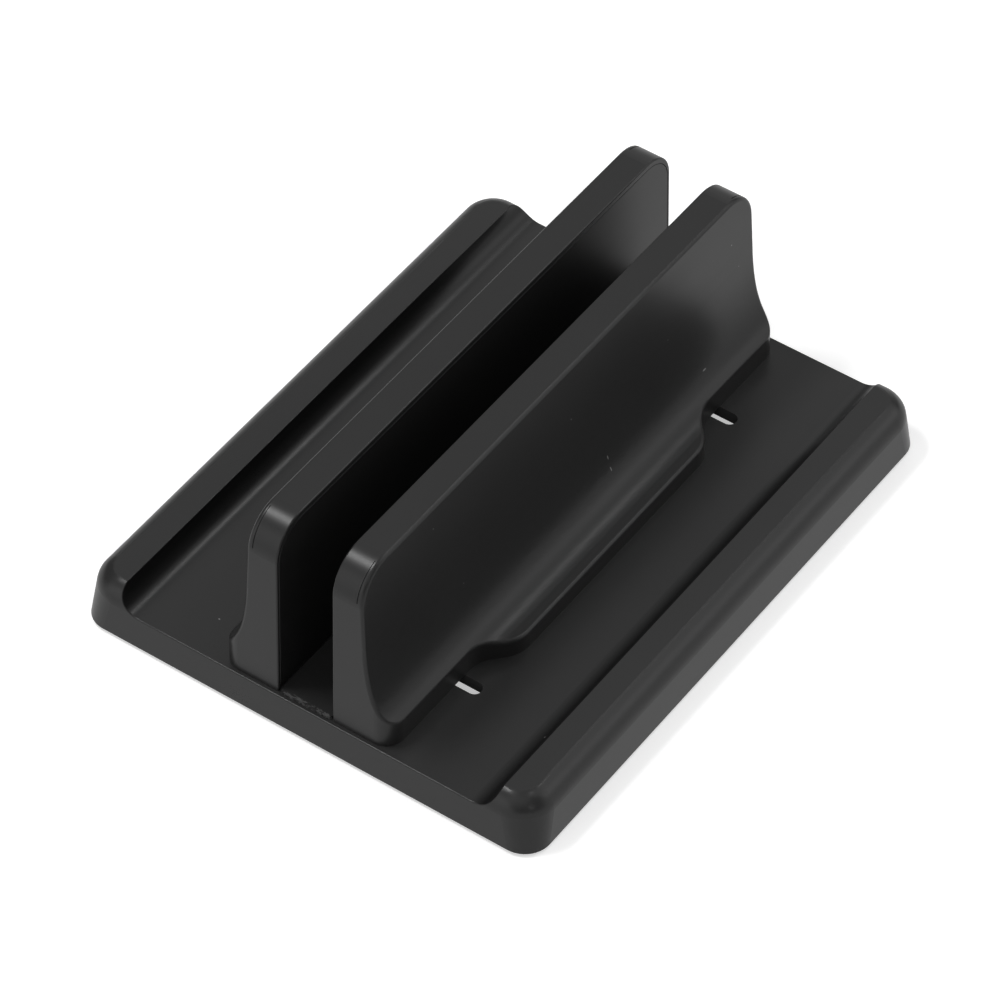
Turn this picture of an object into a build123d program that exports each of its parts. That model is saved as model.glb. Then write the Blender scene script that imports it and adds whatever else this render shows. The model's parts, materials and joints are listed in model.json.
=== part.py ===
from build123d import *
from math import radians, sqrt, tan
import os

# Vertical laptop stand, in millimetres.
# X runs across the stand, Y from its front to its back, Z up.
# The origin is on the table, under the middle of the tray.

# Tray outline
base_width = 159.0
base_length = 200.0
corner_radius = 8.5
corner_top_radius = 12.0
side_draft = 4.0
front_draft = 5.0
rear_draft = 1.5
foot_proud = 1.2
floor_height = 11.0
rim_height = 18.2
rim_crown = 0.36
rim_edge_radius = 7.66
crease_radius = 2.0

# Channel between the rims
lip_offset = 65.4
cove_radius = 7.5
lip_break = 0.45

# Tray walls and ribs
wall = 2.3
floor_thickness = 2.6
rib_thickness = 1.5
rib_recess = 1.4
cross_rib_pairs = 2
long_rib_offset = 47.0

# Mat between the brackets
mat_width = 18.0
mat_end_reach = 0.15
mat_thickness = 1.2
mat_corner = 1.5

# Rubber feet
foot_inset_x = 18.5
foot_inset_y = 16.0
foot_radius = 6.5
foot_edge = 0.5
foot_plug_radius = 3.9
foot_plug_length = 5.0
foot_plug_clearance = 0.05
foot_tube_wall = 2.0

# Brackets, in the closed position
bracket_gap = 18.9
bracket_height = 62.8
bracket_length = 195.3
bracket_travel = 15.5
slide_gap = 0.05
end_draft = 1.7
top_corner_radius = 12.0
top_thickness = 9.9
sweep_thickness = 11.15
sweep_start = 36.0
sweep_upper_pull = 22.0
sweep_lower_pull = 8.2
foot_flat = 3.5
foot_slope = 7.0
offset_share = 0.55
foot_edge_height = 6.1
foot_narrow = 20.2
foot_wide = 28.7
notch_lead = 4.0
notch_blend = 18.0
toe_radius = 6.0
outer_break = 1.1
inner_break = 0.5
groove_inset = 0.6
groove_width = 0.35
groove_depth = 0.25
groove_start = 0.4
groove_end = 10.0

# Bracket walls, ribs and inner covers
bracket_wall = 2.4
cover_thickness = 1.6
cover_top_rim = 2.0
cover_end_rim = 1.1
cover_bottom_rim = 1.0
cover_corner_radius = 11.0
cover_joint = 0.15
cover_break = 0.2
bracket_rib_thickness = 1.4
bracket_rib_pitch = 27.0
bracket_rib_pairs = 3
cover_seat_clearance = 0.1

# Pins that locate the inner covers
pin_radius = 1.5
pin_length = 4.0
pin_clearance = 0.05
pin_tube_wall = 1.5
pin_end_inset = 22.65
pin_rows = (14.0, 50.0)

# Clamp screws, washers and threaded inserts
screw_inset = 10.05
screw_end_inset = 33.15
screw_radius = 2.0
screw_length = 14.0
screw_tip = 0.5
head_radius = 4.0
head_height = 2.6
head_break = 0.6
socket_across_flats = 2.5
socket_depth = 1.6
washer_radius = 5.0
washer_hole_radius = 2.15
washer_thickness = 0.8
insert_radius = 2.8
insert_length = 8.0
insert_depth = 0.5
insert_chamfer = 0.3
thread_clearance = 0.05
press_clearance = 0.02
boss_wall = 2.0
boss_cap = 2.5

# Slots in the floor
slot_width = 4.8
slot_pad_depth = 1.6
slot_pad_margin = 2.0
stop_clearance = 0.05

# Levels and places that follow from the sizes above, and how far cuts run past a face
skirt_z = foot_proud
floor_z = skirt_z + floor_height
rim_z = skirt_z + rim_height
cove_z = floor_z + cove_radius
cove_x = lip_offset - sqrt(cove_radius**2 - (cove_z - rim_z) ** 2)
rubber_x = base_width / 2 - foot_inset_x
rubber_y = base_length / 2 - foot_inset_y
mat_length = bracket_length + 2 * mat_end_reach
inner_x = bracket_gap / 2
bracket_z = floor_z + slide_gap
top_z = floor_z + bracket_height
upright_slope = (sweep_thickness - top_thickness) / (bracket_height - sweep_start)
screw_x = inner_x + screw_inset
screw_y = bracket_length / 2 - screw_end_inset
notch_outer = screw_y - notch_lead
notch_inner = notch_outer - notch_blend
pin_y = bracket_length / 2 - pin_end_inset
pad_z = floor_z - floor_thickness - slot_pad_depth
slot_inner_x = screw_x - screw_radius - stop_clearance
slot_outer_x = screw_x + bracket_travel + screw_radius + stop_clearance
slot_length = slot_outer_x - slot_inner_x
slot_x = (slot_inner_x + slot_outer_x) / 2
pad_length = bracket_travel + 2 * (washer_radius + slot_pad_margin)
pad_width = 2 * (washer_radius + slot_pad_margin)
beyond = 20.0
cut_past = 1.0
tolerance = 0.01


def block(x0, x1, y0, y1, z0, z1):
    """A plain box between two corners."""
    return Pos((x0 + x1) / 2, (y0 + y1) / 2, (z0 + z1) / 2) * Box(x1 - x0, y1 - y0, z1 - z0)


def upright(radius, x, y, z0, z1):
    """A cylinder along Z."""
    return Pos(x, y, (z0 + z1) / 2) * Cylinder(radius, z1 - z0)


def crossways(radius, x0, x1, y, z):
    """A cylinder along X."""
    return Pos((x0 + x1) / 2, y, z) * Rot(0, 90, 0) * Cylinder(radius, x1 - x0)


def outer_loop(faces):
    """The edges round a group of faces, without those between two of them."""
    edges = [edge for face in faces for edge in face.edges()]
    return [edge for edge in edges if sum(edge.is_same(other) for other in edges) == 1]


# Tray


def tray_block(inset):
    """The tray's outside, with leaning walls and rounded rims, made smaller by inset."""
    height = rim_height + rim_crown - inset
    side_in, front_in, rear_in = [height * tan(radians(a)) for a in (side_draft, front_draft, rear_draft)]
    width = base_width - 2 * inset
    length = base_length - 2 * inset
    low = RectangleRounded(width, length, corner_radius - inset)
    high = RectangleRounded(width - 2 * side_in, length - front_in - rear_in, corner_top_radius - inset)
    high_y = (front_in - rear_in) / 2
    solid = loft([Pos(0, 0, skirt_z) * low, Pos(0, high_y, skirt_z + height) * high], ruled=True)
    crown = solid.faces().sort_by(Axis.Z)[-1]
    solid = fillet(crown.edges(), rim_edge_radius - inset)
    return solid & block(-base_width, base_width, -base_length, base_length, skirt_z, rim_z - inset)


def channel(grow):
    """The open space between the rims, with a round cove along each side."""
    half = base_length / 2 + beyond
    space = block(-cove_x, cove_x, -half, half, floor_z - grow, rim_z + beyond)
    for side in (-1, 1):
        cove = Rot(90, 0, 0) * Cylinder(cove_radius + grow, 2 * half)
        space += Pos(side * cove_x, 0, cove_z) * cove
    return space


def tray_ribs():
    """Ribs under the floor and rims, clear of the washers' travel."""
    low = skirt_z + rib_recess
    half_x = base_width / 2
    half_y = base_length / 2
    clear = pad_width / 2 + rib_thickness
    pitch = (screw_y - clear) / cross_rib_pairs
    places = [i * pitch for i in range(-cross_rib_pairs, cross_rib_pairs + 1)]
    places += [-screw_y - clear, screw_y + clear]
    ribs = Part()
    for y in places:
        ribs += block(-half_x, half_x, y - rib_thickness / 2, y + rib_thickness / 2, low, rim_z)
    for x in (-long_rib_offset, 0, long_rib_offset):
        ribs += block(x - rib_thickness / 2, x + rib_thickness / 2, -half_y, half_y, low, rim_z)
    return ribs


def slot_places():
    """The middles of the four slots."""
    return [(sx * slot_x, sy * screw_y) for sx in (-1, 1) for sy in (-1, 1)]


def foot_places():
    """The middles of the four rubber feet."""
    return [(sx * rubber_x, sy * rubber_y) for sx in (-1, 1) for sy in (-1, 1)]


def base_tray():
    """The one-piece tray, hollow below, with ribs, slots and tubes for the feet."""
    outside = tray_block(0)
    top = outside.faces().sort_by(Axis.Z)[-1]
    outside = fillet(top.edges(), crease_radius) - channel(0)
    trough = [f for f in outside.faces()
              if abs(f.center().X) < lip_offset and f.center().Z > floor_z - tolerance
              and f.bounding_box().size.Y > base_length / 2]
    outside = fillet(outer_loop(trough), lip_break)
    hollow = tray_block(wall) - channel(floor_thickness)
    filling = tray_ribs()
    for x, y in slot_places():
        filling += block(x - pad_length / 2, x + pad_length / 2, y - pad_width / 2, y + pad_width / 2,
                         pad_z, floor_z)
    for x, y in foot_places():
        filling += upright(foot_plug_radius + foot_plug_clearance + foot_tube_wall, x, y, skirt_z, rim_z)
    tray = outside - (hollow - filling)
    for x, y in foot_places():
        depth = foot_plug_length + foot_plug_clearance
        tray -= upright(foot_plug_radius + foot_plug_clearance, x, y, skirt_z - cut_past, skirt_z + depth)
    for x, y in slot_places():
        slot = Pos(x, y, pad_z - cut_past) * SlotOverall(slot_length, slot_width)
        tray -= extrude(slot, floor_z - pad_z + 2 * cut_past)
    return tray


def base_mat():
    """The mat glued on the floor between the brackets."""
    outline = RectangleRounded(mat_width, mat_length, mat_corner)
    return extrude(Pos(0, 0, floor_z) * outline, mat_thickness)


def rubber_foot(x, y):
    """A push-in foot: a disc with a plug that fills the tray's tube."""
    disc = upright(foot_radius, x, y, 0, skirt_z)
    disc = fillet(disc.edges().sort_by(Axis.Z)[0], foot_edge)
    return disc + upright(foot_plug_radius, x, y, skirt_z / 2, skirt_z + foot_plug_length)


# Brackets: all pieces are made for the right side and mirrored for the left


def bracket_section(inset, inner):
    """The section across a bracket: an upright that sweeps out into a foot."""
    out_x = inner_x + foot_wide + beyond
    top = (inner_x + top_thickness - inset, top_z - inset)
    start = (inner_x + sweep_thickness - inset, floor_z + sweep_start)
    end = (inner_x + foot_wide, floor_z + foot_edge_height - inset)
    lead = inset * offset_share
    rise = tan(radians(foot_slope))
    upper_pull = sweep_upper_pull + lead
    upper = (start[0] + upper_pull * upright_slope, start[1] - upper_pull)
    knee = (end[0] - foot_flat - lead, end[1] + (foot_flat + lead) * rise)
    lower = (knee[0] - sweep_lower_pull, knee[1] + sweep_lower_pull * rise)
    half = bracket_length / 2 + beyond
    with BuildSketch(Plane.XZ.offset(-half)) as section:
        with BuildLine():
            Polyline(start, top, (inner, top[1]), (inner, bracket_z + inset), (out_x, bracket_z + inset),
                     (out_x, end[1]), end, knee)
            Bezier(knee, lower, upper, start)
        make_face()
    return extrude(section.sketch, 2 * half)


def end_outline(bottom_z, high_z, half_length, radius):
    """A bracket seen from the side, with sloping ends and round upper corners."""
    drawn_in = (high_z - floor_z) * tan(radians(end_draft))
    low_in = (bottom_z - floor_z) * tan(radians(end_draft))
    with BuildSketch(Plane.YZ) as side:
        with BuildLine():
            Polyline((-half_length + low_in, bottom_z), (half_length - low_in, bottom_z),
                     (half_length - drawn_in, high_z), (-half_length + drawn_in, high_z), close=True)
        make_face()
        fillet(side.vertices().group_by(Axis.Y)[-1], radius)
    return side.sketch


def foot_outline(inset, inner):
    """The foot from above: wide in the middle, narrow beside the slots."""
    narrow = inner_x + foot_narrow - inset
    wide = inner_x + foot_wide - inset
    near = notch_inner - inset * offset_share
    far = notch_outer - inset * offset_share
    middle = (near + far) / 2
    half = bracket_length / 2 - inset
    with BuildSketch() as foot:
        with BuildLine():
            Polyline((narrow, -far), (narrow, -half), (inner, -half), (inner, half),
                     (narrow, half), (narrow, far))
            Bezier((narrow, far), (narrow, middle), (wide, middle), (wide, near))
            Line((wide, near), (wide, -near))
            Bezier((wide, -near), (wide, -middle), (narrow, -middle), (narrow, -far))
        make_face()
    return foot.sketch


def bracket_body(inset, inner):
    """A bracket's outside, or its hollow when inset is a wall."""
    side = end_outline(floor_z, top_z - inset, bracket_length / 2 - inset, top_corner_radius - inset)
    side_prism = extrude(side, inner_x + foot_wide + beyond, both=True)
    foot_prism = extrude(Pos(0, 0, floor_z) * foot_outline(inset, inner), bracket_height + beyond)
    body = bracket_section(inset, inner) & side_prism & foot_prism
    narrow = inner_x + foot_narrow - inset
    toes = [e for e in body.edges() if abs(e.center().X - narrow) < tolerance
            and abs(e.center().Y) > notch_outer and e.length < 2 * foot_edge_height]
    return fillet(toes, toe_radius - inset)


def corner_grooves():
    """The thin grooves round a bracket's upper corners, beside its rounded outer edge."""
    half = bracket_length / 2
    outer = end_outline(floor_z, top_z, half, top_corner_radius)
    inner = end_outline(floor_z, top_z - groove_depth, half - groove_depth, top_corner_radius - groove_depth)
    x = inner_x + top_thickness - outer_break - groove_inset
    ring = Pos(x, 0, 0) * extrude(outer - inner, groove_width)
    return ring & block(x, x + groove_width, -half, half, top_z - groove_end, top_z - groove_start)


def cover_outline(grow):
    """The inner cover's outline, or its seat's when grow is the joint."""
    outline = end_outline(bracket_z + cover_bottom_rim, top_z - cover_top_rim,
                          bracket_length / 2 - cover_end_rim, cover_corner_radius)
    return offset(outline, amount=grow) if grow else outline


def pin_places():
    """Where the inner cover's pins are, as Y and Z."""
    return [(i * pin_y, floor_z + rise) for i in (-1, 0, 1) for rise in pin_rows]


def screw_places():
    """Where the two clamp screws of a bracket are along Y."""
    return [-screw_y, screw_y]


def bracket_shell():
    """The hollow bracket, open on its inner side, with ribs, bosses and pin tubes."""
    outside = bracket_body(0, inner_x)
    outer = [f for f in outside.faces() if f.bounding_box().size.Y > base_length / 2
             and f.normal_at().X > 0.5 and f.center().Z > floor_z + foot_edge_height]
    rounded = fillet(outer_loop(outer), outer_break)
    inner_face = rounded.faces().sort_by(Axis.X)[0]
    inner_edges = [e for e in inner_face.edges() if e.center().Z > bracket_z + tolerance]
    rounded = fillet(inner_edges, inner_break) - corner_grooves()

    cover_back = inner_x + cover_thickness
    hollow = bracket_body(bracket_wall, inner_x - beyond)
    filling = Part()
    stop = cover_back + cover_seat_clearance
    reach = inner_x + foot_wide
    half_rib = bracket_rib_thickness / 2
    for i in range(1, bracket_rib_pairs + 1):
        for y in (-i * bracket_rib_pitch, i * bracket_rib_pitch):
            filling += block(stop, reach, y - half_rib, y + half_rib, bracket_z, top_z)
    for y, z in pin_places():
        filling += crossways(pin_radius + pin_clearance + pin_tube_wall, stop, reach, y, z)
    boss_top = bracket_z + insert_depth + insert_length + boss_cap
    for y in screw_places():
        filling += upright(insert_radius + press_clearance + boss_wall, screw_x, y, bracket_z, boss_top)
    shell = rounded - (hollow - filling)
    shell -= extrude(cover_outline(cover_joint), cover_back)
    pin_end = cover_back + pin_length + pin_clearance
    for y, z in pin_places():
        shell -= crossways(pin_radius + pin_clearance, inner_x, pin_end, y, z)
    screw_rise = screw_length - washer_thickness - (floor_z - pad_z)
    depth = max(insert_depth + insert_length, screw_rise) + screw_tip
    for y in screw_places():
        shell -= upright(insert_radius + press_clearance, screw_x, y, bracket_z - cut_past,
                         bracket_z + depth)
    return shell


def inner_cover():
    """The flat plate that closes a bracket, with its pins."""
    plate = extrude(cover_outline(0), inner_x + cover_thickness)
    plate &= block(inner_x, inner_x + beyond, -base_length, base_length, 0, top_z + beyond)
    front = plate.faces().sort_by(Axis.X)[0]
    plate = fillet(front.edges(), cover_break)
    cover_back = inner_x + cover_thickness
    for y, z in pin_places():
        plate += crossways(pin_radius, inner_x + cover_thickness / 2, cover_back + pin_length, y, z)
    return plate


def threaded_insert(y):
    """A brass insert in the bracket's boss."""
    low = bracket_z + insert_depth
    body = upright(insert_radius, screw_x, y, low, low + insert_length)
    body = chamfer(body.edges(), insert_chamfer)
    bore_end = low + insert_length + cut_past
    return body - upright(screw_radius + thread_clearance, screw_x, y, low - cut_past, bore_end)


def washer(y):
    """A flat washer under the floor."""
    ring = upright(washer_radius, screw_x, y, pad_z - washer_thickness, pad_z)
    return ring - upright(washer_hole_radius, screw_x, y, pad_z - beyond, pad_z + cut_past)


def clamp_screw(y):
    """A screw with a low round head and a hexagon socket, pointing up."""
    seat = pad_z - washer_thickness
    head = upright(head_radius, screw_x, y, seat - head_height, seat)
    head = fillet(head.edges().sort_by(Axis.Z)[0], head_break)
    shank = upright(screw_radius, screw_x, y, seat - head_height / 2, seat + screw_length)
    shank = chamfer(shank.edges().sort_by(Axis.Z)[-1], screw_tip)
    socket = RegularPolygon(socket_across_flats / 2, 6, major_radius=False)
    socket = extrude(Pos(screw_x, y, seat - head_height - cut_past) * socket, socket_depth + cut_past)
    return head + shank - socket


def save(shape, name):
    """Writes one piece."""
    export_step(shape, "parts/" + name + ".step")


os.makedirs("parts", exist_ok=True)
save(base_tray(), "base_tray")
save(base_mat(), "base_mat")
for row, y in (("front", -rubber_y), ("back", rubber_y)):
    for side, x in (("left", -rubber_x), ("right", rubber_x)):
        save(rubber_foot(x, y), "rubber_foot_" + row + "_" + side)

pieces = {"bracket_shell": bracket_shell(), "inner_cover": inner_cover()}
for row, y in zip(("front", "back"), screw_places()):
    pieces["threaded_insert_" + row] = threaded_insert(y)
    pieces["washer_" + row] = washer(y)
    pieces["clamp_screw_" + row] = clamp_screw(y)
for name, piece in pieces.items():
    save(piece, "right_" + name)
    save(mirror(piece, about=Plane.YZ), "left_" + name)
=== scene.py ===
import json
import math

import bpy
from mathutils import Matrix, Vector


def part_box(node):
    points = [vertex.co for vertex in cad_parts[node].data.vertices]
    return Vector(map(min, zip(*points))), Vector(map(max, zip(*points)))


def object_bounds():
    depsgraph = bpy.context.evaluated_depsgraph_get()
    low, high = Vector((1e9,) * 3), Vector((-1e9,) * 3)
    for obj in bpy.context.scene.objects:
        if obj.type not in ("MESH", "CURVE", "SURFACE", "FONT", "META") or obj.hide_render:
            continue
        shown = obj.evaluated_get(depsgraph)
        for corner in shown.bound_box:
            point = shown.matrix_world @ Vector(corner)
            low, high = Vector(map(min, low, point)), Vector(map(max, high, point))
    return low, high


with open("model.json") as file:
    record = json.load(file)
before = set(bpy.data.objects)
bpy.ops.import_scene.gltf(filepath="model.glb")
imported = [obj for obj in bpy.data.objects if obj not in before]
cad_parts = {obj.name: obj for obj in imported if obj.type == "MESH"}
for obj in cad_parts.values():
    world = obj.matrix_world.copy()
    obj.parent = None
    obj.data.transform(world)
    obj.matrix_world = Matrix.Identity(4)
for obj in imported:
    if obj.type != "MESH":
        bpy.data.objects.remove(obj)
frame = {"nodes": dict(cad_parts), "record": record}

# Vertical laptop stand, in metres, in the frame of the solids.
MM = 0.001
cad_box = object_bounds()
nodes = frame["nodes"]
# Height of the tray's floor, which the mat lies on, and how far below it still counts as floor
TRAY_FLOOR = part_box("base_mat")[0][2]
LEVEL_MARGIN = 0.1 * MM

# Camera at the photograph's viewing angle: lengths in metres, pixels from the upper left corner
IMAGE_WIDTH = 1000
SENSOR_MM = 36.0
FOCAL_PIXELS = 5703.0
VIEW_AZIMUTH = math.radians(35.24)
VIEW_ELEVATION = math.radians(46.87)
VIEW_ROLL = math.radians(-0.12)
VIEW_DISTANCE = 1.6617
TRAY_BOTTOM = Vector((0, 0, 1.2 * MM))
TRAY_BOTTOM_PIXEL = (506.4, 525.1)
NEAREST, FARTHEST = 0.05, 50


def make_camera():
    """Places the camera so that the tray's bottom centre falls on its pixel."""
    cos_el = math.cos(VIEW_ELEVATION)
    forward = Vector((-math.sin(VIEW_AZIMUTH) * cos_el, math.cos(VIEW_AZIMUTH) * cos_el,
                      -math.sin(VIEW_ELEVATION)))
    level = Vector((math.cos(VIEW_AZIMUTH), math.sin(VIEW_AZIMUTH), 0))
    plumb = forward.cross(level)
    right = level * math.cos(VIEW_ROLL) + plumb * math.sin(VIEW_ROLL)
    down = plumb * math.cos(VIEW_ROLL) - level * math.sin(VIEW_ROLL)
    data = bpy.data.cameras.new("camera")
    data.sensor_width = SENSOR_MM
    data.lens = FOCAL_PIXELS / IMAGE_WIDTH * SENSOR_MM
    data.clip_start = NEAREST
    data.clip_end = FARTHEST
    camera = bpy.data.objects.new("camera", data)
    bpy.context.scene.collection.objects.link(camera)
    per_pixel = VIEW_DISTANCE / FOCAL_PIXELS
    across = (TRAY_BOTTOM_PIXEL[0] - IMAGE_WIDTH / 2) * per_pixel
    below = (TRAY_BOTTOM_PIXEL[1] - IMAGE_WIDTH / 2) * per_pixel
    place = TRAY_BOTTOM - forward * VIEW_DISTANCE - right * across - down * below
    turn = Matrix((right, -down, -forward)).transposed().to_4x4()
    camera.matrix_world = Matrix.Translation(place) @ turn
    bpy.context.scene.camera = camera


# Materials. A tone is the grey value of a base colour, and a shade is a factor on a piece's tone.
PLASTIC_IOR = 1.36
RUBBER_IOR = 1.4
EDGE_RADIUS = 0.45 * MM
DUST_TONE = 0.30
# Painted light: the tone of the lighter slot walls
SLOT_WALL_PAINTED_LIGHT_TONE = 0.06
# Tone of the dark cover edges: dirt in the joints and painted shade of the gaps
DARK_EDGE_TONE = 0.002
# Painted highlight: the tone of the pale band along the mat's cut end
CUT_END_HIGHLIGHT_TONE = 0.075
# Painted shade: the factor that darkens the tray's coves
PAINTED_COVE_SHADE = 0.3
# Factor for the lighter edges: partly rubbed wear, partly painted highlights along the rounded edges
WORN_AND_HIGHLIGHT_SHADE = 3.0
# The slots lie farther in from the tray's sides and ends than this.
TRAY_RIM = 15 * MM


class Graph:
    """A short way to write a node material."""

    def __init__(self, name):
        self.material = bpy.data.materials.new(name)
        self.material.use_nodes = True
        self.tree = self.material.node_tree
        self.shader = self.tree.nodes["Principled BSDF"]
        self.output = self.tree.nodes["Material Output"]

    def node(self, kind, inputs=None, **settings):
        """Adds a node, sets its properties and fills or links its inputs."""
        made = self.tree.nodes.new(kind)
        for key, value in settings.items():
            setattr(made, key, value)
        for key, value in (inputs or {}).items():
            self.put(made.inputs[key], value)
        return made

    def put(self, socket, value):
        """Links an output to a socket, or sets the socket's value."""
        if isinstance(value, bpy.types.NodeSocket):
            self.tree.links.new(value, socket)
        else:
            socket.default_value = value

    def place(self):
        """Positions on the piece, in metres."""
        return self.node("ShaderNodeTexCoord").outputs["Object"]

    def stretched(self, scale):
        """Positions scaled differently along each axis."""
        return self.node("ShaderNodeMapping", {"Vector": self.place(), "Scale": scale}).outputs[0]

    def noise(self, scale, detail, rough=0.5, where=None):
        """Smooth noise from 0 to 1."""
        return self.node("ShaderNodeTexNoise", {"Vector": where or self.place(), "Scale": scale,
                                                "Detail": detail, "Roughness": rough}).outputs["Fac"]

    def fit(self, value, low, high, to_low, to_high, smooth=False):
        """Maps a range of values to another, held at its ends."""
        kind = "SMOOTHSTEP" if smooth else "LINEAR"
        return self.node("ShaderNodeMapRange", {"Value": value, "From Min": low, "From Max": high,
                                                "To Min": to_low, "To Max": to_high},
                         interpolation_type=kind).outputs[0]

    def math(self, how, a, b=0.0):
        """One arithmetic step."""
        return self.node("ShaderNodeMath", {0: a, 1: b}, operation=how).outputs[0]

    def mix(self, amount, a, b):
        """Blends two colours."""
        made = self.node("ShaderNodeMix", data_type="RGBA")
        self.put(made.inputs[0], amount)
        self.put(made.inputs[6], a)
        self.put(made.inputs[7], b)
        return made.outputs[2]

    def spot(self, middle, half_size):
        """1 inside a small ellipsoid on the piece and 0 outside; sizes in millimetres."""
        middle = tuple(v * MM for v in middle)
        half_size = tuple(v * MM for v in half_size)
        where = self.node("ShaderNodeVectorMath", {0: self.place(), 1: middle},
                          operation="SUBTRACT").outputs[0]
        where = self.node("ShaderNodeVectorMath", {0: where, 1: half_size},
                          operation="DIVIDE").outputs[0]
        far = self.node("ShaderNodeVectorMath", {0: where}, operation="LENGTH").outputs["Value"]
        return self.fit(far, 1.0, 0.6, 0.0, 1.0, True)

    def inside_slots(self):
        """1 on walls below the floor and well inside the tray, which are those of the slots."""
        parts = self.node("ShaderNodeSeparateXYZ", {0: self.place()}).outputs
        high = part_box("base_tray")[1]
        under = self.math("LESS_THAN", parts[2], TRAY_FLOOR - LEVEL_MARGIN)
        wide = self.math("LESS_THAN", self.math("ABSOLUTE", parts[0]), high[0] - TRAY_RIM)
        long = self.math("LESS_THAN", self.math("ABSOLUTE", parts[1]), high[1] - TRAY_RIM)
        return self.math("MULTIPLY", under, self.math("MULTIPLY", wide, long))

    def inside_coves(self):
        """1 where the tray's surface turns towards its middle above the floor, as the coves do."""
        parts = self.node("ShaderNodeSeparateXYZ", {0: self.place()}).outputs
        turned = self.node("ShaderNodeSeparateXYZ",
                           {0: self.node("ShaderNodeTexCoord").outputs["Normal"]}).outputs
        inward = self.math("MULTIPLY", turned[0], self.math("SIGN", parts[0]))
        above = self.math("GREATER_THAN", parts[2], TRAY_FLOOR - LEVEL_MARGIN)
        return self.math("MULTIPLY", above, self.fit(inward, -0.05, -0.60, 0.0, 1.0, True))

    def bump(self, height, distance, strength, normal=None):
        """Turns a height into a bumped normal; distance is the height of 1, in metres."""
        inputs = {"Height": height, "Distance": distance, "Strength": strength}
        if normal:
            inputs["Normal"] = normal
        return self.node("ShaderNodeBump", inputs).outputs[0]


def grey(value):
    """A neutral colour."""
    return (value, value, value, 1)


def moulded_plastic(name, tone, roughness, grain, marks=(), painted_channel_light=False, dark_edges=False):
    """Black moulded plastic with fine texture, faint flow marks, lighter rubbed edges that are partly
    painted highlights, dust and scratches.

    marks are the places of single specks and scratches. channels darkens the coves along the rims
    as painted shade and lightens the walls of the slots as painted light. dark_edges gives dark
    edges in place of rubbed ones: dirt in the joints and painted shade of the gaps.
    """
    g = Graph(name)
    cloud = g.noise(22, 4, 0.6)
    flow = g.noise(1, 3, 0.55, g.stretched((60, 9, 60)))
    fine = g.noise(grain, 2, 0.6)
    sharp = g.node("ShaderNodeNewGeometry").outputs["Normal"]
    round_off = g.node("ShaderNodeBevel", {"Radius": EDGE_RADIUS}, samples=4).outputs[0]
    bend = g.node("ShaderNodeVectorMath", {0: sharp, 1: round_off},
                  operation="DOT_PRODUCT").outputs["Value"]
    edge = g.fit(bend, 0.985, 0.80, 0.0, 1.0, True)
    patchy = g.fit(g.noise(160, 4, 0.65), 0.42, 0.62, 0.25, 1.0, True)
    worn_and_highlight = g.math("MULTIPLY", edge, patchy)
    speck = g.node("ShaderNodeTexVoronoi", {"Vector": g.place(), "Scale": 130.0}).outputs["Distance"]
    rare = g.fit(g.noise(47, 1), 0.60, 0.66, 0.0, 1.0, True)
    dust = g.math("MULTIPLY", g.fit(speck, 0.035, 0.022, 0.0, 1.0, True), rare)
    for middle, half_size in marks:
        dust = g.math("MAXIMUM", dust, g.spot(middle, half_size))
    base = g.mix(cloud, grey(tone * 0.92), grey(tone * 1.08))
    # Painted shade: the coves along the rims are darkened
    if painted_channel_light:
        base = g.mix(g.inside_coves(), base, grey(tone * PAINTED_COVE_SHADE))
    # Dark cover edges: dirt in the joints and painted shade of the gaps between cover and shell
    if dark_edges:
        base = g.mix(edge, base, grey(DARK_EDGE_TONE))
    else:
        # Lighter edges: partly rubbed wear, partly painted highlights along the rounded edges
        base = g.mix(g.math("MULTIPLY", worn_and_highlight, 0.45), base, grey(tone * WORN_AND_HIGHLIGHT_SHADE))
    base = g.mix(g.math("MULTIPLY", dust, 0.7), base, grey(DUST_TONE))
    sheen = g.math("ADD", g.fit(cloud, 0.3, 0.7, -0.02, 0.02), g.fit(flow, 0.3, 0.7, -0.015, 0.015))
    rough = g.math("ADD", g.math("ADD", roughness, sheen), g.fit(fine, 0.3, 0.7, -0.02, 0.02))
    rough = g.math("SUBTRACT", rough, g.math("MULTIPLY", worn_and_highlight, 0.05))
    if dark_edges:
        rough = g.math("MAXIMUM", rough, g.math("MULTIPLY", edge, 0.9))
    if painted_channel_light:
        # Painted light: the slot walls are made lighter, and matt
        slot_walls = g.inside_slots()
        rough = g.math("MAXIMUM", rough, g.math("MULTIPLY", slot_walls, 0.85))
        base = g.mix(slot_walls, base, grey(SLOT_WALL_PAINTED_LIGHT_TONE))
    g.put(g.shader.inputs["Base Color"], base)
    g.put(g.shader.inputs["Roughness"], rough)
    g.shader.inputs["IOR"].default_value = PLASTIC_IOR
    normal = g.bump(g.noise(9, 2), 0.02 * MM, 0.6)
    normal = g.bump(fine, 0.0025 * MM, 0.8, normal)
    g.put(g.shader.inputs["Normal"], normal)
    return g.material


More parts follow.
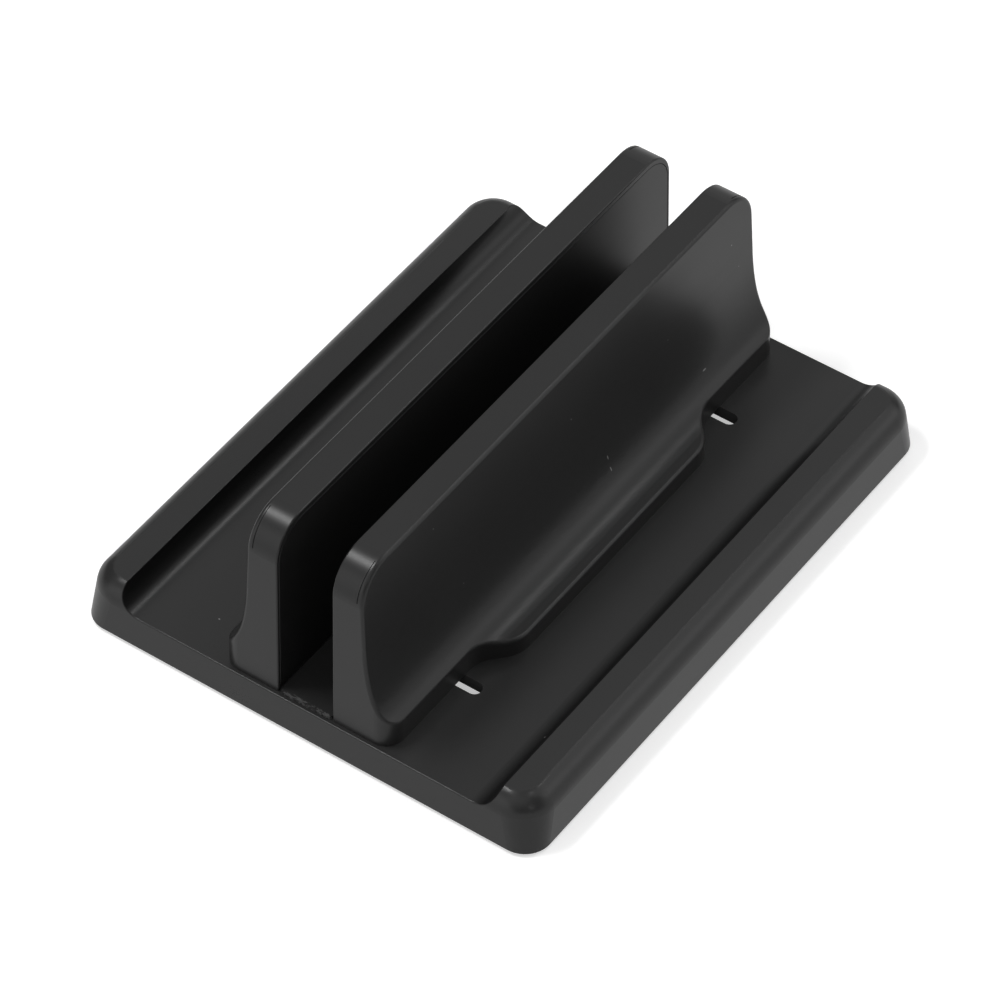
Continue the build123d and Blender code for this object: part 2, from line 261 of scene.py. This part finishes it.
def sheet_rubber(name, tone, cut_end=None):
    """Matt rubber with a fine calendered grain, and a pale jagged band along a roughly cut end at a
    given Y: a painted highlight of the lit cut edge.
    """
    g = Graph(name)
    fine = g.noise(2600, 3, 0.7)
    cloud = g.noise(70, 4, 0.6)
    base = g.mix(cloud, grey(tone * 0.8), grey(tone * 1.25))
    # Painted highlight: a pale jagged band along the cut end, for the lit cut edge
    if cut_end is not None:
        along = g.node("ShaderNodeSeparateXYZ", {0: g.place()}).outputs[1]
        wander = g.math("MULTIPLY", g.fit(g.noise(350, 2), 0.3, 0.7, -0.3, 0.3), MM)
        beyond = g.math("SUBTRACT", g.math("ADD", along, wander), cut_end)
        near = g.fit(beyond, 1.1 * MM, 0.7 * MM, 0.0, 1.0, True)
        streaks = g.noise(1, 3, 0.7, g.stretched((700, 1800, 700)))
        jagged_highlight = g.fit(streaks, 0.46, 0.58, 0.0, 1.0, True)
        base = g.mix(g.math("MULTIPLY", near, jagged_highlight), base, grey(CUT_END_HIGHLIGHT_TONE))
    g.put(g.shader.inputs["Base Color"], base)
    g.put(g.shader.inputs["Roughness"], g.fit(cloud, 0.3, 0.7, 0.72, 0.86))
    g.shader.inputs["IOR"].default_value = RUBBER_IOR
    g.put(g.shader.inputs["Normal"], g.bump(fine, 0.05 * MM, 0.7))
    return g.material


def metal(name, colour, roughness, groove_scale):
    """Turned and plated metal with fine lathe marks."""
    g = Graph(name)
    lines = g.node("ShaderNodeTexWave", {"Vector": g.place(), "Scale": groove_scale,
                                         "Distortion": 2.0, "Detail": 3.0},
                   wave_type="BANDS", bands_direction="Z").outputs["Fac"]
    cloud = g.noise(300, 3, 0.6)
    dull = tuple(c * 0.7 for c in colour[:3]) + (1,)
    g.put(g.shader.inputs["Base Color"], g.mix(g.fit(cloud, 0.35, 0.7, 0, 0.7), colour, dull))
    g.shader.inputs["Metallic"].default_value = 1.0
    g.put(g.shader.inputs["Roughness"], g.fit(cloud, 0.3, 0.7, roughness - 0.06, roughness + 0.1))
    g.put(g.shader.inputs["Normal"], g.bump(lines, 0.01 * MM, 0.5))
    return g.material


# Specks and short scratches on the stand: middle and half size, in millimetres
MARKS = [
    ((19.7, -63.0, 67.2), (0.35, 0.28, 0.28)),
    ((-39.6, -85.4, 12.2), (0.35, 0.25, 0.25)),
    ((24.7, 65.4, 26.1), (0.6, 1.0, 0.25)),
    ((23.4, 17.3, 29.2), (0.5, 0.25, 1.0)),
    ((24.9, 16.9, 25.7), (0.6, 0.25, 1.1)),
    ((20.1, 84.8, 58.9), (0.4, 0.3, 0.3)),
    ((20.6, 88.4, 47.8), (0.4, 0.22, 0.22)),
    ((20.6, 51.5, 47.5), (0.4, 0.22, 0.22)),
]
SLOTS = {
    "stand_plastic": moulded_plastic("stand_plastic", 0.0205, 0.335, 3200.0, MARKS),
    "cover_plastic": moulded_plastic("cover_plastic", 0.015, 0.34, 3600.0, dark_edges=True),
    "mat_rubber": sheet_rubber("mat_rubber", 0.010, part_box("base_mat")[0][1]),
    "foot_rubber": sheet_rubber("foot_rubber", 0.02),
    "insert_brass": metal("insert_brass", (0.72, 0.5, 0.22, 1), 0.34, 900.0),
    "screw_steel": metal("screw_steel", (0.55, 0.55, 0.56, 1), 0.3, 1200.0),
}


def dress_nodes():
    """Gives every solid the material of its slot, and the tray its own variant of that plastic."""
    slots = {part["node"]: part["material_slot"] for part in frame["record"]["subparts"]}
    for name, node in nodes.items():
        node.data.materials.clear()
        node.data.materials.append(SLOTS[slots[name]])
    tray = moulded_plastic("tray_plastic", 0.0255, 0.31, 3200.0, MARKS, painted_channel_light=True)
    nodes["base_tray"].data.materials[0] = tray


# Floor, light and background. The floor lies just under the feet, and its brightness in
# reflections is lower under the tray than around it, a painted shadow that only reflections show.
FLOOR_LEVEL = -0.1 * MM
FLOOR_HALF = 6.0
FLOOR_GLOW = 0.5
# Painted shadow: the floor's brightness in reflections under the tray
FLOOR_PAINTED_SHADOW = 0.15
FLOOR_IN_REFLECTION = 0.83
UNDER_TRAY_BLEND = 8 * MM
# Bright directions of the studio: direction, half angle in degrees and strength. Each is at its
# full strength within BRIGHT_CORE degrees.
BRIGHT_CORE = 8
STUDIO = [
    ((-0.39, 0.56, 0.73), 35, 0.57),
    ((0.50, 0.56, 0.65), 35, 1.12),
    ((0.80, 0.56, 0.15), 40, 0.85),
    ((-0.39, -0.60, 0.69), 35, 0.42),
    ((-0.39, -0.90, 0.10), 45, 1.19),
    ((-0.39, 0.90, 0.10), 40, 0.51),
    ((0.25, -0.55, 0.80), 35, 0.65),
]
# Lights: name, place, target, width, depth and brightness
LIGHTS = [
    ("strip_light", (0.17, 0.54, 0.93), (0.07, -0.08, 0.0), 0.16, 0.16, 10.5),
    ("top_light", (-0.41, -0.235, 1.07), (0.0, -0.09, 0.07), 0.28, 0.16, 38.0),
    ("corner_light", (0.45, -0.04, 1.03), (0.07, -0.09, 0.015), 0.08, 0.08, 20.0),
    ("low_light", (0.95, -0.58, 0.42), (0.07, -0.09, 0.015), 0.08, 0.08, 14.0),
]


def make_floor():
    """A plain white floor that keeps the object's shadow, and shows a painted shadow under the tray
    in reflections.
    """
    g = Graph("floor")
    corners = [(-1, -1), (1, -1), (1, 1), (-1, 1)]
    data = bpy.data.meshes.new("floor")
    data.from_pydata([(x * FLOOR_HALF, y * FLOOR_HALF, FLOOR_LEVEL) for x, y in corners], [],
                     [(0, 1, 2, 3)])
    floor = bpy.data.objects.new("floor", data)
    bpy.context.scene.collection.objects.link(floor)
    data.materials.append(g.material)
    g.shader.inputs["Base Color"].default_value = grey(0.8)
    g.shader.inputs["Roughness"].default_value = 0.9
    g.shader.inputs["Specular IOR Level"].default_value = 0.0
    path = g.node("ShaderNodeLightPath")
    g.shader.inputs["Emission Color"].default_value = grey(1.0)
    glow = g.math("MULTIPLY", path.outputs["Is Camera Ray"], FLOOR_GLOW)
    g.put(g.shader.inputs["Emission Strength"], glow)
    mirrored = g.math("MAXIMUM", path.outputs["Is Glossy Ray"], path.outputs["Is Transmission Ray"])
    parts = g.node("ShaderNodeSeparateXYZ", {0: g.place()}).outputs
    # Painted shadow: in reflections the floor is darker under the tray
    outside = []
    for part, reach in zip(parts[:2], cad_box[1][:2]):
        outside.append(g.fit(g.math("ABSOLUTE", part), reach - UNDER_TRAY_BLEND, reach,
                             0.0, 1.0, True))
    reflected_tone = g.fit(g.math("MAXIMUM", *outside), 0.0, 1.0, FLOOR_PAINTED_SHADOW, FLOOR_IN_REFLECTION)
    white = g.node("ShaderNodeEmission", {"Color": grey(1.0), "Strength": reflected_tone}).outputs[0]
    either = g.node("ShaderNodeMixShader", {0: mirrored, 1: g.shader.outputs[0], 2: white}).outputs[0]
    g.put(g.output.inputs["Surface"], either)


def make_light(name, place, target, width, depth, brightness):
    """A rectangular soft light that faces a point."""
    data = bpy.data.lights.new(name, "AREA")
    data.shape = "RECTANGLE"
    data.size = width
    data.size_y = depth
    data.energy = brightness * math.pi * width * depth
    light = bpy.data.objects.new(name, data)
    bpy.context.scene.collection.objects.link(light)
    light.location = place
    light.rotation_mode = "QUATERNION"
    light.rotation_quaternion = (Vector(place) - Vector(target)).to_track_quat("Z", "Y")


def make_world():
    """A dark studio with some bright directions, and white where the camera sees it."""
    world = bpy.data.worlds.new("studio")
    world.use_nodes = True
    tree = world.node_tree
    back = tree.nodes["Background"]
    way = tree.nodes.new("ShaderNodeTexCoord").outputs["Generated"]
    total = None
    for direction, outer, strength in STUDIO:
        dot = tree.nodes.new("ShaderNodeVectorMath")
        dot.operation = "DOT_PRODUCT"
        dot.inputs[1].default_value = Vector(direction).normalized()
        tree.links.new(way, dot.inputs[0])
        fade = tree.nodes.new("ShaderNodeMapRange")
        fade.interpolation_type = "SMOOTHERSTEP"
        fade.inputs["From Min"].default_value = math.cos(math.radians(outer))
        fade.inputs["From Max"].default_value = math.cos(math.radians(BRIGHT_CORE))
        fade.inputs["To Max"].default_value = strength
        tree.links.new(dot.outputs["Value"], fade.inputs["Value"])
        add = tree.nodes.new("ShaderNodeMath")
        add.inputs[0].default_value = 0.0
        if total:
            tree.links.new(total, add.inputs[0])
        tree.links.new(fade.outputs[0], add.inputs[1])
        total = add.outputs[0]
    path = tree.nodes.new("ShaderNodeLightPath")
    pick = tree.nodes.new("ShaderNodeMix")
    pick.inputs["B"].default_value = 1.0
    tree.links.new(path.outputs["Is Camera Ray"], pick.inputs["Factor"])
    tree.links.new(total, pick.inputs["A"])
    tree.links.new(pick.outputs[0], back.inputs["Strength"])
    back.inputs["Color"].default_value = grey(1.0)
    bpy.context.scene.world = world


make_camera()
dress_nodes()
make_floor()
make_world()
for light in LIGHTS:
    make_light(*light)
bpy.context.scene.view_settings.view_transform = "Standard"
